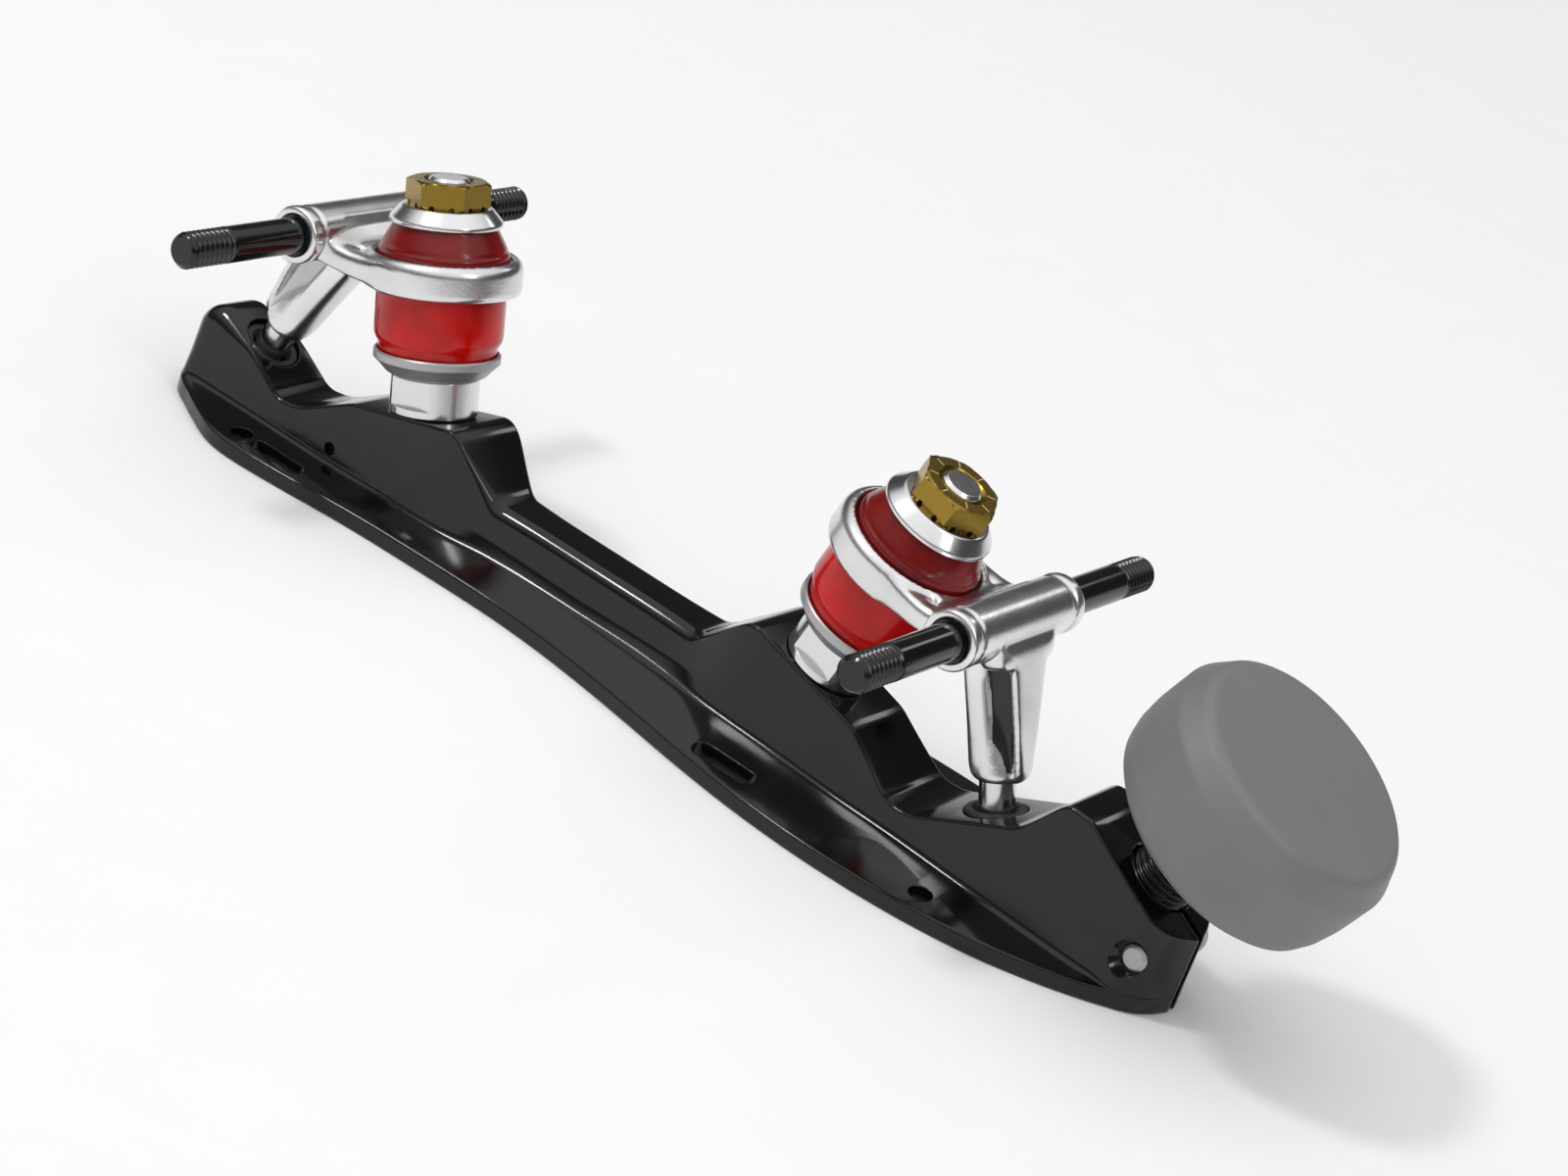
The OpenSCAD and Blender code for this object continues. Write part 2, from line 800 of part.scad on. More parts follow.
module toe_clamp_screw() {
    color(steel)
        translate([screw_x, 0, screw_z])
            rotate([90, 0, 0])
                difference() {
                    turned([
                        [0, -screw_seat - screw_head],
                        [screw_head_r - 0.35, -screw_seat - screw_head],
                        [screw_head_r, -screw_seat - screw_head + 0.4],
                        [screw_head_r, -screw_seat],
                        [screw_r, -screw_seat],
                        [screw_r, screw_tip - 0.6],
                        [screw_r - 0.6, screw_tip],
                        [0, screw_tip]
                    ]);
                    translate([0, 0, -screw_seat - screw_head - 0.1])
                        cylinder(h = 2.2, d = 4.6, $fn = 6);
                }
}

module front_kingpin() {
    truck(false)
        kingpin();
}

module front_lower_cup() {
    truck(false)
        lower_cup();
}

module front_lower_cushion() {
    truck(false)
        lower_cushion();
}

module front_hanger() {
    truck(false)
        hanger();
}

module front_axle() {
    truck(false)
        axle();
}

module front_upper_cushion() {
    truck(false)
        upper_cushion();
}

module front_top_cup() {
    truck(false)
        top_cup();
}

module front_kingpin_nut() {
    truck(false)
        kingpin_nut();
}

module front_pivot_pin() {
    truck(false)
        pivot_pin();
}

module front_pivot_cup() {
    truck(false)
        pivot_cup();
}

module rear_kingpin() {
    truck(true)
        kingpin();
}

module rear_lower_cup() {
    truck(true)
        lower_cup();
}

module rear_lower_cushion() {
    truck(true)
        lower_cushion();
}

module rear_hanger() {
    truck(true)
        hanger();
}

module rear_axle() {
    truck(true)
        axle();
}

module rear_upper_cushion() {
    truck(true)
        upper_cushion();
}

module rear_top_cup() {
    truck(true)
        top_cup();
}

module rear_kingpin_nut() {
    truck(true)
        kingpin_nut();
}

module rear_pivot_pin() {
    truck(true)
        pivot_pin();
}

module rear_pivot_cup() {
    truck(true)
        pivot_cup();
}

plate();
front_kingpin();
front_lower_cup();
front_lower_cushion();
front_hanger();
front_axle();
front_upper_cushion();
front_top_cup();
front_kingpin_nut();
front_pivot_pin();
front_pivot_cup();
rear_kingpin();
rear_lower_cup();
rear_lower_cushion();
rear_hanger();
rear_axle();
rear_upper_cushion();
rear_top_cup();
rear_kingpin_nut();
rear_pivot_pin();
rear_pivot_cup();
toe_stop_pad();
toe_stop_stem();
toe_clamp_screw();
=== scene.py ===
import math

import bmesh
import bpy
from mathutils import Matrix, Vector


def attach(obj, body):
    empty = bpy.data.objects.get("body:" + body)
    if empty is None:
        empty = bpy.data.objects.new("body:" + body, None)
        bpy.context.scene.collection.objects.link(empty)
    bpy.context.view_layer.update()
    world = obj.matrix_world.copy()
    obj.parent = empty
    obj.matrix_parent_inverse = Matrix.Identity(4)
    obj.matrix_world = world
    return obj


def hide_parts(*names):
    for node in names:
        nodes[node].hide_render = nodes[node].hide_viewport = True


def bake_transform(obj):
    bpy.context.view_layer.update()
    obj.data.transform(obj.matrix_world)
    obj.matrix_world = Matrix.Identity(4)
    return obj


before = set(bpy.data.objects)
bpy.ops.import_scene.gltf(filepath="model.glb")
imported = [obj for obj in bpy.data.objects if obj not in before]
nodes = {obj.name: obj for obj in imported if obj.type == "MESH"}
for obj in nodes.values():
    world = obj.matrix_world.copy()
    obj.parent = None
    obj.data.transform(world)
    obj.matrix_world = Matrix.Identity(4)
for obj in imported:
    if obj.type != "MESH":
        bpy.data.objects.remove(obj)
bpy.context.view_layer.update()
MM = 0.001

# Sizes of the part, in mm and degrees
AX, AZ = 79.375, 47.4                         # axle: distance from the middle, height
KX, KZ, TILT = AX - 26.7, 32.6, 16            # kingpin: the middle of its lower cup, its lean
PIVOT_OUT, PIVOT_Z = 12.8, 12.8               # pivot ball: how far outside the axle, its height
LEG_LEAN = math.degrees(math.atan(PIVOT_OUT / (AZ - PIVOT_Z)))
LEG = math.hypot(PIVOT_OUT, AZ - PIVOT_Z)     # from the axle to the pivot ball
CX, CZ = AX + 33.6, 27.7                      # crest of the nose
TOE_TILT = 27
NOSE_SLOPE = math.tan(math.radians(TOE_TILT + 1.5))
TOE_X = AX + 45.7
TOE = (TOE_X, 0, CZ - (TOE_X - CX) * NOSE_SLOPE)
SCREW_OUT, SCREW_DEEP = 6.35 + 2.5 + 0.35, 8  # clamp screw: beside the stem, under the nose's face


# Frames
def move(x, y, z):
    return Matrix.Translation((x * MM, y * MM, z * MM))


def turn(deg, axis):
    return Matrix.Rotation(math.radians(deg), 4, axis)


def truck(side):
    return turn(180 if side == "rear" else 0, "Z")


def on_kingpin(side):
    return truck(side) @ move(KX, 0, KZ) @ turn(TILT, "Y")


def on_axle(side):
    return truck(side) @ move(AX, 0, AZ) @ turn(90, "X")


def on_leg(side):
    return truck(side) @ move(AX, 0, AZ) @ turn(-LEG_LEAN, "Y")


def on_screw():
    c, s = math.cos(math.radians(TOE_TILT)), math.sin(math.radians(TOE_TILT))
    x = TOE[0] + SCREW_OUT * c - SCREW_DEEP * s
    z = TOE[2] - SCREW_OUT * s - SCREW_DEEP * c
    return move(x, 0, z) @ turn(90, "X")


ON_TOE = move(*TOE) @ turn(TOE_TILT, "Y")


# Materials
def material(name, base, metallic=0.0, rough=0.3, **more):
    """A Principled material: a fine noise in its roughness and surface, a broad one in its tone."""
    mat = bpy.data.materials.new(name)
    mat.use_nodes = True
    tree = mat.node_tree
    shader = tree.nodes["Principled BSDF"]
    shader.inputs["Metallic"].default_value = metallic
    for key, value in more.get("extra", {}).items():
        shader.inputs[key].default_value = value

    def node(kind, **inputs):
        n = tree.nodes.new(kind)
        for key, value in inputs.items():
            n.inputs[key.replace("_", " ")].default_value = value
        return n

    coord = node("ShaderNodeTexCoord")
    fine = node("ShaderNodeTexNoise", Scale=more.get("scale", 700), Detail=4)
    tree.links.new(coord.outputs["Object"], fine.inputs["Vector"])
    spread = more.get("spread", 0.05)
    span = node("ShaderNodeMapRange", To_Min=max(rough - spread, 0.02), To_Max=rough + spread)
    tree.links.new(fine.outputs["Fac"], span.inputs["Value"])
    tree.links.new(span.outputs["Result"], shader.inputs["Roughness"])

    tone = more.get("tone", 0.12)
    broad = node("ShaderNodeTexNoise", Scale=more.get("broad", 60))
    tree.links.new(coord.outputs["Object"], broad.inputs["Vector"])
    mix = tree.nodes.new("ShaderNodeMix")
    mix.data_type = "RGBA"
    mix.inputs["A"].default_value = (*[c * (1 - tone) for c in base], 1)
    mix.inputs["B"].default_value = (*[min(c * (1 + tone), 1) for c in base], 1)
    tree.links.new(broad.outputs["Fac"], mix.inputs["Factor"])
    tree.links.new(mix.outputs["Result"], shader.inputs["Base Color"])

    bump = node("ShaderNodeBump", Strength=more.get("bump", 0.05), Distance=0.0001)
    tree.links.new(fine.outputs["Fac"], bump.inputs["Height"])
    if more.get("round"):
        bevel = node("ShaderNodeBevel", Radius=more["round"] * MM)
        bevel.samples = 6
        tree.links.new(bevel.outputs["Normal"], bump.inputs["Normal"])
    tree.links.new(bump.outputs["Normal"], shader.inputs["Normal"])
    return mat


black_plate = material("black anodised", (0.004, 0.004, 0.0045), 0.0, 0.11, spread=0.03,
                       round=0.4, tone=0.3, bump=0.02, extra={"Specular IOR Level": 0.43})
chrome = material("polished casting", (0.74, 0.74, 0.745), 1.0, 0.25, scale=2000, broad=100,
                  tone=0.22, bump=0.2)
# painted shade for the hanger flutes: a grey metal on the rear hanger, a near black on the front
# one, though both castings are alike
light_painted_shade = material("flute with lighter painted shade", (0.5, 0.5, 0.505), 1.0, 0.3, scale=1100, tone=0.2,
                  bump=0.3)
dark_painted_shade = material("flute with darker painted shade", (0.05, 0.05, 0.052), 0.9, 0.3, scale=1100, tone=0.4,
                  bump=0.3)
steel = material("bright steel", (0.72, 0.72, 0.73), 1.0, 0.18, round=0.2, tone=0.06)
dull_steel = material("matt grey steel", (0.45, 0.45, 0.455), 0.85, 0.42, round=0.25, tone=0.1)
oxide = material("black oxide", (0.004, 0.004, 0.004), 0.0, 0.15, spread=0.03, tone=0.3, bump=0.04)
# painted highlight: a lighter metal on the thread crests near the axle's ends, for bright thread
# lines
painted_crest_highlight = material("thread crest with painted highlight", (0.09, 0.09, 0.09), 1.0, 0.3, tone=0.5)
dark_steel = material("dark thread steel", (0.03, 0.03, 0.03), 0.8, 0.25, tone=0.3)
gold = material("gold anodised", (0.3, 0.2, 0.035), 1.0, 0.27, scale=2500, tone=0.12, bump=0.01)
bright_gold = material("scribed gold", (0.85, 0.72, 0.35), 0.6, 0.45, tone=0.1, bump=0.01)
red = material("red urethane", (0.54, 0.004, 0.002), 0.0, 0.16, tone=0.6, broad=110, bump=0.02,
               extra={"Subsurface Weight": 0.75, "Subsurface Radius": (1.0, 0.06, 0.03),
                      "Subsurface Scale": 0.005, "Specular IOR Level": 0.3,
                      "Coat Weight": 0.1, "Coat Roughness": 0.05})
dark_red = material("dark red urethane", (0.2, 0.007, 0.006), 0.0, 0.18, tone=0.6, broad=110,
                    bump=0.02,
                    extra={"Subsurface Weight": 0.6, "Subsurface Radius": (1.0, 0.2, 0.15),
                           "Subsurface Scale": 0.004, "Specular IOR Level": 0.3,
                           "Coat Weight": 0.05, "Coat Roughness": 0.06})
cup_black = material("black cup", (0.02, 0.02, 0.02), 0.0, 0.45, round=0.2, tone=0.3)
rubber = material("grey rubber", (0.172, 0.184, 0.178), 0.0, 0.5, scale=1600, broad=90,
                  tone=0.05, bump=0.15)
pale = material("pale floor", (0.94, 0.94, 0.94), 0.0, 0.8, tone=0.01, bump=0.0, scale=40)


# Objects
def new_object(name, verts, faces):
    me = bpy.data.meshes.new(name)
    me.from_pydata([tuple(v) for v in verts], [], faces)
    me.validate()
    me.update()
    ob = bpy.data.objects.new(name, me)
    bpy.context.collection.objects.link(ob)
    return ob


def dress(ob, mat, body, *stands_for, slot=None, sharp=35):
    me = ob.data
    me.materials.clear()
    me.materials.append(mat)
    me.polygons.foreach_set("use_smooth", [True] * len(me.polygons))
    me.set_sharp_from_angle(angle=math.radians(sharp))
    if body:
        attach(ob, body)
    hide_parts(*stands_for)
    return ob


def paint(ob, mat, faces):
    """Gives some faces of a dressed object a second material."""
    ob.data.materials.append(mat)
    for face in faces:
        face.material_index = 1


def copy_of(node):
    src = nodes[node]
    me = src.data.copy()
    me.transform(src.matrix_world)
    ob = bpy.data.objects.new(node + "_shown", me)
    bpy.context.collection.objects.link(ob)
    return ob


def apply_modifiers(ob):
    bpy.context.view_layer.update()
    graph = bpy.context.evaluated_depsgraph_get()
    ob.data = bpy.data.meshes.new_from_object(ob.evaluated_get(graph))
    ob.modifiers.clear()


def solid(name, verts, faces):
    ob = new_object(name, verts, faces)
    bm = bmesh.new()
    bm.from_mesh(ob.data)
    bmesh.ops.recalc_face_normals(bm, faces=bm.faces)
    bm.to_mesh(ob.data)
    bm.free()
    return ob


def append_mesh(ob, verts, faces):
    """Adds bodies to an object's mesh; their faces come last."""
    bm = bmesh.new()
    bm.from_mesh(ob.data)
    new = [bm.verts.new(v) for v in verts]
    for face in faces:
        bm.faces.new([new[i] for i in face])
    bm.to_mesh(ob.data)
    bm.free()


def cut(ob, parts):
    tool = solid("cutter", *joined(*parts))
    mod = ob.modifiers.new("cut", "BOOLEAN")
    mod.operation, mod.solver, mod.object = "DIFFERENCE", "EXACT", tool
    apply_modifiers(ob)
    bpy.data.objects.remove(tool)


def merged(name, node, cuts, bodies, voxel):
    """A copy of a CAD node, cut, joined with more bodies and run together into one close grid."""
    ob = copy_of(node)
    bm = bmesh.new()
    bm.from_mesh(ob.data)
    bmesh.ops.remove_doubles(bm, verts=bm.verts, dist=1e-7)
    bm.to_mesh(ob.data)
    bm.free()
    for parts in cuts:
        cut(ob, parts)
    append_mesh(ob, *joined(*bodies))
    mod = ob.modifiers.new("grid", "REMESH")
    mod.mode, mod.voxel_size = "VOXEL", voxel * MM
    apply_modifiers(ob)
    ob.name = name
    return ob


def softened(ob, rules, keep):
    """Smooths the points that each rule's test picks, then thins the mesh to the part keep."""
    bm = bmesh.new()
    bm.from_mesh(ob.data)
    for passes, test in rules:
        some = [v for v in bm.verts if test(v.co)]
        for _ in range(passes):
            bmesh.ops.smooth_vert(bm, verts=some, factor=0.5,
                                  use_axis_x=True, use_axis_y=True, use_axis_z=True)
    bm.to_mesh(ob.data)
    bm.free()
    ob.modifiers.new("fewer", "DECIMATE").ratio = keep
    apply_modifiers(ob)


# Bodies: each function gives points in metres and faces
def joined(*parts):
    verts, faces = [], []
    for v, f in parts:
        faces += [tuple(i + len(verts) for i in face) for face in f]
        verts += v
    return verts, faces


def circle(segs):
    """The cosine and sine of each point round a circle."""
    return [(math.cos(2 * math.pi * j / segs), math.sin(2 * math.pi * j / segs))
            for j in range(segs)]


def skin(rows, segs, flip=False):
    """The faces of a closed body of rows of segs points each; flip turns them over."""
    faces = []
    for i in range(rows - 1):
        for j in range(segs):
            k = (j + 1) % segs
            a, b = i * segs + j, i * segs + k
            faces.append((a, a + segs, b + segs, b) if flip else (a, b, b + segs, a + segs))
    first, last = range(segs), range((rows - 1) * segs, rows * segs)
    if flip:
        return faces + [tuple(first), tuple(reversed(last))]
    return faces + [tuple(reversed(first)), tuple(last)]


def squared(c, power):
    return math.copysign(abs(c) ** power, c)


def bar(at, rows, power, segs=40):
    """A bar along z: rows of (z, x from, x to, half width) in mm, squarer with more power."""
    verts = []
    for z, x0, x1, w in rows:
        for c, s in circle(segs):
            x = (x0 + x1) / 2 + (x1 - x0) / 2 * squared(c, 2 / power)
            verts.append(at @ Vector((x * MM, w * squared(s, 2 / power) * MM, z * MM)))
    return verts, skin(len(rows), segs, flip=True)


def limb(at, rows, segs=32, power=0.55):
    """A bar along x: rows of (x, y, half width, bottom, top) in mm, each a rounded box."""
    verts = []
    for x, y, w, z0, z1 in rows:
        for c, s in circle(segs):
            z = (z0 + z1) / 2 + (z1 - z0) / 2 * squared(s, power)
            verts.append(at @ Vector((x * MM, (y + w * squared(c, power)) * MM, z * MM)))
    return verts, skin(len(rows), segs)


def block(at, lo, hi):
    """A box between two corners in mm."""
    ring = (lo[0], lo[1]), (hi[0], lo[1]), (hi[0], hi[1]), (lo[0], hi[1])
    verts = [at @ Vector((x * MM, y * MM, z * MM)) for z in (lo[2], hi[2]) for x, y in ring]
    return verts, skin(2, len(ring))


def turned(at, profile, segs=64):
    """A body turned about z: rows of (radius, height) in mm, none on the axis."""
    verts = [at @ Vector((r * c * MM, r * s * MM, h * MM))
             for r, h in profile for c, s in circle(segs)]
    return verts, skin(len(profile), segs)


def slot(x, y, length, width, z0, z1, segs=20):
    """An upright slot along x; length is between the middles of its round ends."""
    ring = []
    for s in (1, -1):
        for i in range(segs + 1):
            t = math.pi * (i / segs - 0.5) + (0 if s > 0 else math.pi)
            ring.append((x + s * length / 2 + width / 2 * math.cos(t), y + width / 2 * math.sin(t)))
    verts = [Vector((px * MM, py * MM, z * MM)) for z in (z0, z1) for px, py in ring]
    return verts, skin(2, len(ring))


# Turned pieces
def arc(p, q, s, r, steps):
    """Points of a short arc that cuts the corner q between p and s."""
    p, q, s = Vector(p), Vector(q), Vector(s)
    u, v = p - q, s - q
    k = min(r, u.length * 0.45, v.length * 0.45)
    a, b = q + u.normalized() * k, q + v.normalized() * k
    ts = [i / steps for i in range(steps + 1)]
    return [tuple((1 - t) ** 2 * a + 2 * t * (1 - t) * q + t * t * b) for t in ts]


def rounded(profile, r=0.25, steps=3):
    """The profile with each of its corners off the axis cut by a short arc."""
    out = [profile[0]]
    for a, b, c in zip(profile, profile[1:], profile[2:]):
        flat = min((Vector(a) - Vector(b)).length, (Vector(c) - Vector(b)).length) < 1e-6
        out += [b] if flat or b[0] < 1e-6 else arc(a, b, c, r, steps)
    return out + [profile[-1]]


def lathe(name, profile, at, segs=96, shape=None):
    """A turned object: the profile is (radius, height) in mm, closed on the axis or to its start.

    shape(radius, height, angle) gives the radius where the piece isn't round.
    """
    verts, faces, rings = [], [], []
    for r, h in profile:
        if r < 1e-6:
            rings.append([len(verts)] * segs)
            verts.append(at @ Vector((0, 0, h * MM)))
            continue
        rings.append([len(verts) + j for j in range(segs)])
        for j in range(segs):
            a = 2 * math.pi * j / segs
            rr = shape(r, h, a) if shape else r
            verts.append(at @ Vector((rr * math.cos(a) * MM, rr * math.sin(a) * MM, h * MM)))
    pairs = list(zip(rings, rings[1:]))
    if profile[0][0] > 1e-6:
        pairs.append((rings[-1], rings[0]))
    for lo, hi in pairs:
        for j in range(segs):
            k = (j + 1) % segs
            quad = [lo[j], lo[k], hi[k], hi[j]]
            face = [v for i, v in enumerate(quad) if v != quad[i - 1]]
            if len(set(face)) > 2:
                faces.append(face)
    return new_object(name, verts, faces)


def threaded(profile, zones, pitch, depth):
    """The profile in fine steps, and the shape that cuts a helical thread over height zones."""
    fine = [profile[0]]
    for (r0, h0), (r1, h1) in zip(profile, profile[1:]):
        n = 1
        if min(r0, r1) > 1e-6 and any(min(h0, h1) < b and max(h0, h1) > a for a, b in zones):
            n = max(1, int(abs(h1 - h0) / (pitch / 8)))
        fine += [(r0 + (r1 - r0) * i / n, h0 + (h1 - h0) * i / n) for i in range(1, n + 1)]

    def shape(r, h, a):
        if r <= depth * 3:
            return r
        for lo, hi in zones:
            if lo <= h <= hi:
                fade = min(1, (h - lo) / pitch, (hi - h) / pitch)
                u = (h / pitch - a / (2 * math.pi)) % 1
                return r - depth * fade * min(1, 2.6 * abs(u - 0.5))
        return r

    return fine, shape


# Plate: the loft of the CAD body, with close sections and rounded corners
REAR, NOSE = -AX - 28.2, AX + 56.8      # the two ends
BOSS_DROP, BW = 11.3, 9.0               # kingpin boss: how far under that cup, its half width
BX = KX - BOSS_DROP * math.sin(math.radians(TILT))
BZ = KZ - BOSS_DROP * math.cos(math.radians(TILT))
BIN, BOUT = BX - 12.4, BX + 13.4        # where the boss's top begins and ends
SF, SZ, FT = BX - 24.3, 15.2, 3.0       # spine: end and height; thickness of the flange


def boss(x):
    return BZ + (BX - abs(x)) * math.tan(math.radians(TILT))


# (x, half width of the flange)
OUTLINE = [(REAR, 1.5), (REAR + 0.5, 4.6), (REAR + 2.1, 7.4), (REAR + 4.6, 9.9), (REAR + 9.2, 12.7),
           (-AX - 14.7, 15.3), (-AX - 7.2, 19.3), (-AX - 2, 20.7), (-AX + 4.4, 20.8),
           (-AX + 15.6, 19.7), (-AX + 27.5, 18.2), (-AX * 0.5, 17.3), (-AX * 0.18, 16.5),
           (-AX * 0.01, 17.2), (AX * 0.16, 19), (AX * 0.33, 21.5), (AX * 0.5, 24.2),
           (AX - 26, 26.3), (AX - 13, 27.3), (AX - 2, 27.3), (AX + 8.2, 26.6), (AX + 18, 25.1),
           (AX + 28, 22.6), (AX + 36, 19.4), (AX + 44, 15.3), (AX + 51.2, 10.6), (NOSE - 3, 8.2),
           (NOSE - 1.2, 5), (NOSE, 1.5)]
# (x, height and half width of the crease, height and half width of the shoulder, half width at 25)
FLANK = [(REAR, 3.9, 8.6, 8, 8.2, 7), (-AX, 4, 8.6, 8, 8.2, 7.4), (-AX + 15, 4.3, 8.9, 9, 8.5, 7.7),
         (-BX, 5.1, 9.3, 10, 9, BW - 0.3), (-BIN + 2.2, 5.6, 9.6, 10.5, 9.25, BW),
         (-SF + 2.3, 6, 8.5, 8.5, 7.3, 5), (0, 6.2, 7.9, 8, 6.9, 4.5),
         (SF - 2.3, 6.1, 8.9, 8.5, 7.3, 5), (BIN - 2.2, 5.8, 9.8, 10.5, 9.35, BW),
         (BX, 5.4, 10.2, 11, 9.6, BW - 0.1), (AX - 14, 4.6, 10.3, 9.3, 9.6, 8.1),
         (AX - 1, 4.6, 10.9, 7.2, 10.4, 7.7), (AX + 13, 4.6, 12, 8.5, 11.2, 8),
         (AX + 28, 4.3, 12.8, 11, 11.3, 9.2), (AX + 41, 3.7, 12.4, 10, 11.2, 9.8),
         (NOSE, 3.2, 11.2, 8, 11, 10.2)]
# (x, height of the top line, how far its bend reaches)
RIDGE = [(REAR, 13, 0), (-AX - 26.8, 16.6, 1), (-AX - 22, 20.3, 2.8), (-AX - 10.5, 15.8, 2.2),
         (-AX - 1, 9.9, 2.2), (-AX + 5, 10.9, 2.2), (-BOUT, boss(BOUT), 1.2),
         (-BIN, boss(BIN), 2.2), (-SF, SZ, 1.9), (SF, SZ, 1.9), (BIN, boss(BIN), 2.2),
         (BOUT, boss(BOUT), 1.2), (AX - 4, 9.4, 2.2), (AX + 1, 9.7, 1.8), (AX + 21.4, 19.2, 1.6),
         (AX + 27.8, CZ + 0.2, 1.4), (CX, CZ, 1.4), (NOSE, CZ - (NOSE - CX) * NOSE_SLOPE, 0)]
# (x, radius of the top edge)
SOFT = [(REAR, 3.4), (-AX - 20, 4), (-AX - 11, 1.3), (-AX - 4, 0.8), (-BIN + 3, 0.7), (-SF, 2.8),
        (SF, 2.8), (BIN - 3, 0.7), (NOSE, 0.7)]
# slots of the flange: (x, distance from the middle, length between its ends' middles, width)
FLANGE_SLOTS = [(-AX + 9, 16.1, 9.6, 3.8), (AX - 32, 20.6, 9.6, 4.4)]
# holes of the flange: (x, distance from the middle), and their radius
FLANGE_HOLES, HOLE_R = [(-AX - 1, 15.7), (AX + 13.4, 20.6)], 2.2
# hollows of the boot face, under the spine and between kingpin and pivot: (x, length, width, top)
HOLLOWS = [((SF + 0.7) / 2 + 2.5, SF + 0.7, 8.6, SZ - 4.4), (AX - 12.5, 15, 10.4, 4.8)]
# small blind hole in the near flank: where its foot is, and (radius, height) along it
PIT, PIT_BORE = (-AX + 15, -12, 7), [(1.3, 0), (1.3, 5.4)]
# bores, each (radius, height) along its piece, and two corners of the clamp's slit
KINGPIN_BORE = [(4.03, -60), (4.03, 0)]
PIVOT_BORE = [(6.03, -LEG - 4.4), (6.03, -20)]
STEM_BORE = [(6.4, -60), (6.4, -0.7), (7.0, -0.12), (10.2, 3)]
SCREW_BORE = [(4.55, -38), (4.55, -7.4), (2.55, -7.39), (2.55, 9.2), (3.05, 9.75), (6.6, 15.4)]
CLAMP_SLIT = (4.3, -0.8, -60), (60, 0.8, 30)


def row_at(table, x):
    i = 0
    while i < len(table) - 2 and x >= table[i + 1][0]:
        i += 1
    return i


def part_way(table, i, x):
    return min(max((x - table[i][0]) / (table[i + 1][0] - table[i][0]), 0), 1)


def curve(table, x, k=1):
    """A smooth curve through column k of a table."""
    def steep(i):
        p, q = table[max(i - 1, 0)], table[min(i + 1, len(table) - 1)]
        return (q[k] - p[k]) / (q[0] - p[0])
    i = row_at(table, x)
    w = table[i + 1][0] - table[i][0]
    u = part_way(table, i, x)
    return ((2 * u ** 3 - 3 * u ** 2 + 1) * table[i][k] + (u ** 3 - 2 * u ** 2 + u) * steep(i) * w
            + (3 * u ** 2 - 2 * u ** 3) * table[i + 1][k] + (u ** 3 - u ** 2) * steep(i + 1) * w)


def straight(table, x):
    i = row_at(table, x)
    return table[i][1] + (table[i + 1][1] - table[i][1]) * part_way(table, i, x)


def top_line(x):
    """Straight runs between the rows of RIDGE, with a parabola over each bend."""
    def slope(j):
        return (RIDGE[j + 1][1] - RIDGE[j][1]) / (RIDGE[j + 1][0] - RIDGE[j][0])
    i = row_at(RIDGE, x)
    bend = -1
    if x - RIDGE[i][0] < RIDGE[i][2] and i > 0:
        bend = i
    elif RIDGE[i + 1][0] - x < RIDGE[i + 1][2]:
        bend = i + 1
    if bend <= 0:
        return RIDGE[i][1] + slope(i) * (x - RIDGE[i][0])
    bx, bz, reach = RIDGE[bend]
    m, n = slope(bend - 1), slope(bend)
    return bz - m * reach + m * (x - bx + reach) + (n - m) / (4 * reach) * (x - bx + reach) ** 2


def half_section(x):
    """The plate's outline at x as (y, z), from the boot face up one side to the top line."""
    w = curve(OUTLINE, x)
    crease_y = min(curve(FLANK, x, 2), w - 0.3)
    crease_z = max(FT + 0.15, min(curve(FLANK, x, 1), FT + (w - crease_y) * 0.8))
    low, low_y, high_y = curve(FLANK, x, 3), curve(FLANK, x, 4), curve(FLANK, x, 5)
    top = top_line(x)
    lean = 0.1 if x < 0 else 0.004

    def wall(z):
        p, q = low_y + (high_y - low_y) * (z - low) / (25 - low), w - 0.3 - lean * z
        return (p + q - math.hypot(p - q, 0.6)) / 2
    edge = min(straight(SOFT, x), (top - low) * 0.8, wall(top) * 0.6)
    high = top - edge
    crease = (crease_y, crease_z)
    out = [(w - 0.15, 0), (w, 0.15)]
    out += arc((w, 0.15), (w, FT), crease, 0.6, 5)
    out += arc((w, FT), crease, (wall(low), low), 1.1, 6)
    third = low + (high - low) * 0.3
    out += arc(crease, (wall(low), low), (wall(third), third), 1.2, 3)
    out += [(wall(low + (high - low) * f), low + (high - low) * f) for f in (0.5, 0.75)]
    for t in [math.radians(a) for a in range(0, 91, 10)]:
        out.append((wall(high) - edge * (1 - math.cos(t)), top - edge * (1 - math.sin(t))))
    return out


def stations():
    """Where the plate is cut into sections: evenly, closer at its ends and at each bend."""
    xs = {round(REAR + d, 3) for d in (0, 0.06, 0.15, 0.3, 0.5, 0.8, 1.2, 1.7, 2.3, 3)}
    xs |= {round(NOSE - d, 3) for d in (0, 0.08, 0.2, 0.4, 0.7, 1.1, 1.6, 2.2, 3)}
    n, margin = 290, 3.4
    xs |= {round(REAR + margin + (NOSE - REAR - 2 * margin) * i / n, 3) for i in range(n + 1)}
    for x, _, reach in RIDGE[1:-1]:
        xs |= {round(x + reach * f / 5, 3) for f in range(-5, 6)}
    xs = sorted(xs)
    return [x for i, x in enumerate(xs) if i == 0 or x - xs[i - 1] > 0.04]


